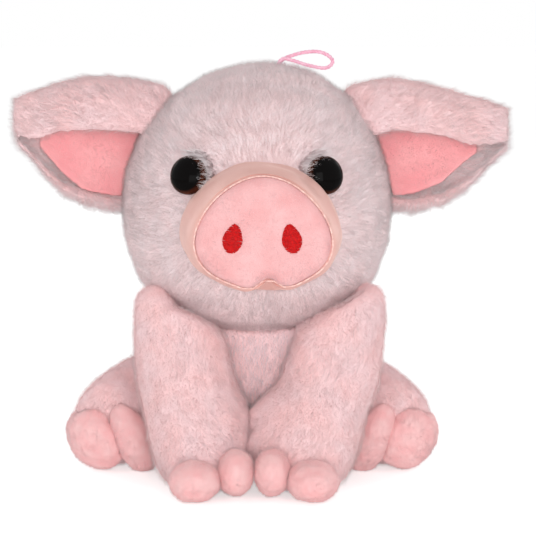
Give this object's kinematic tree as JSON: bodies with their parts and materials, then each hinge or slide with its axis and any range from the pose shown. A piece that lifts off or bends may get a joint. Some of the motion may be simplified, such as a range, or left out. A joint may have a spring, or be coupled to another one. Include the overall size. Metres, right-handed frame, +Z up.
{
  "type": "plush pig",
  "caption": "Small sitting plush pig with folded ears, a satin-banded snout, cleft hooves, plastic safety eyes and a hang loop.",
  "frame": {"origin": "on the floor, under the middle of the toy's box without its hang loop", "axes": "+Z up, -Y the way the pig faces, +X to the viewer's right"},
  "size_m": [0.2419, 0.1772, 0.2041],
  "materials": {
    "plush_fur": "long-pile pale pink plush",
    "stuffing": "white polyester fibre filling",
    "pink_minky": "short-pile pink fabric",
    "ear_lining": "short-pile deeper pink fabric",
    "snout_satin": "peach-pink fabric with a satin sheen",
    "nostril_thread": "dark red satin-stitch embroidery",
    "eye_plastic": "glossy black and brown moulded plastic",
    "washer_plastic": "white moulded plastic",
    "hang_cord": "braided pink cord"
  },
  "bodies": {
    "body": {"body_skin": "plush_fur", "body_fill": "stuffing"},
    "neck": {"neck_fill": "stuffing"},
    "head": {"head_skin": "plush_fur", "head_fill": "stuffing", "snout_band": "snout_satin", "snout_face": "pink_minky", "snout_fill": "stuffing", "nostril_left": "nostril_thread", "nostril_right": "nostril_thread", "eye_left": "eye_plastic", "eye_right": "eye_plastic", "eye_washer_left": "washer_plastic", "eye_washer_right": "washer_plastic", "hang_loop": "hang_cord"},
    "ear_left": {"ear_left_back": "plush_fur", "ear_left_lining": "ear_lining"},
    "ear_right": {"ear_right_back": "plush_fur", "ear_right_lining": "ear_lining"},
    "front_leg_left": {"front_leg_left_skin": "plush_fur", "front_leg_left_fill": "stuffing", "front_leg_left_hoof_inner": "pink_minky", "front_leg_left_hoof_outer": "pink_minky"},
    "front_leg_right": {"front_leg_right_skin": "plush_fur", "front_leg_right_fill": "stuffing", "front_leg_right_hoof_inner": "pink_minky", "front_leg_right_hoof_outer": "pink_minky"},
    "hind_leg_left": {"hind_leg_left_skin": "plush_fur", "hind_leg_left_fill": "stuffing", "hind_leg_left_hoof_inner": "pink_minky", "hind_leg_left_hoof_outer": "pink_minky"},
    "hind_leg_right": {"hind_leg_right_skin": "plush_fur", "hind_leg_right_fill": "stuffing", "hind_leg_right_hoof_inner": "pink_minky", "hind_leg_right_hoof_outer": "pink_minky"},
    "tail": {"tail": "plush_fur"}
  },
  "joints": [
    {"name": "neck_turn", "type": "hinge", "parent": "body", "child": "neck", "pos_m": [-0.0008, 0.006, 0.1307], "axis": [0, 0, 1], "range_deg": [-12, 12], "stiffness_Nm_per_rad": 0.8},
    {"name": "head_nod", "type": "hinge", "parent": "neck", "child": "head", "pos_m": [-0.0008, 0.006, 0.1307], "axis": [1, 0, 0], "range_deg": [-8, 8], "stiffness_Nm_per_rad": 0.8},
    {"name": "ear_left_flop", "type": "hinge", "parent": "head", "child": "ear_left", "pos_m": [-0.0608, 0.012, 0.155], "axis": [0.3584, 0, 0.9336], "range_deg": [-10, 20], "stiffness_Nm_per_rad": 0.03},
    {"name": "ear_right_flop", "type": "hinge", "parent": "head", "child": "ear_right", "pos_m": [0.0592, 0.012, 0.155], "axis": [0.3584, 0, -0.9336], "range_deg": [-10, 20], "stiffness_Nm_per_rad": 0.03},
    {"name": "front_leg_left_swing", "type": "hinge", "parent": "body", "child": "front_leg_left", "pos_m": [-0.0402, -0.014, 0.08], "axis": [-1, 0, 0], "range_deg": [0, 20], "stiffness_Nm_per_rad": 0.25},
    {"name": "front_leg_right_swing", "type": "hinge", "parent": "body", "child": "front_leg_right", "pos_m": [0.0418, -0.014, 0.08], "axis": [-1, 0, 0], "range_deg": [0, 20], "stiffness_Nm_per_rad": 0.25},
    {"name": "hind_leg_left_lift", "type": "hinge", "parent": "body", "child": "hind_leg_left", "pos_m": [-0.047, 0.042, 0.02], "axis": [-1, 0, 0], "range_deg": [0, 15], "stiffness_Nm_per_rad": 0.15},
    {"name": "hind_leg_right_lift", "type": "hinge", "parent": "body", "child": "hind_leg_right", "pos_m": [0.041, 0.042, 0.02], "axis": [-1, 0, 0], "range_deg": [0, 15], "stiffness_Nm_per_rad": 0.15},
    {"name": "tail_wag", "type": "hinge", "parent": "body", "child": "tail", "pos_m": [0.0008, 0.07, 0.042], "axis": [0, 0, 1], "range_deg": [-20, 20], "stiffness_Nm_per_rad": 0.002}
  ]
}
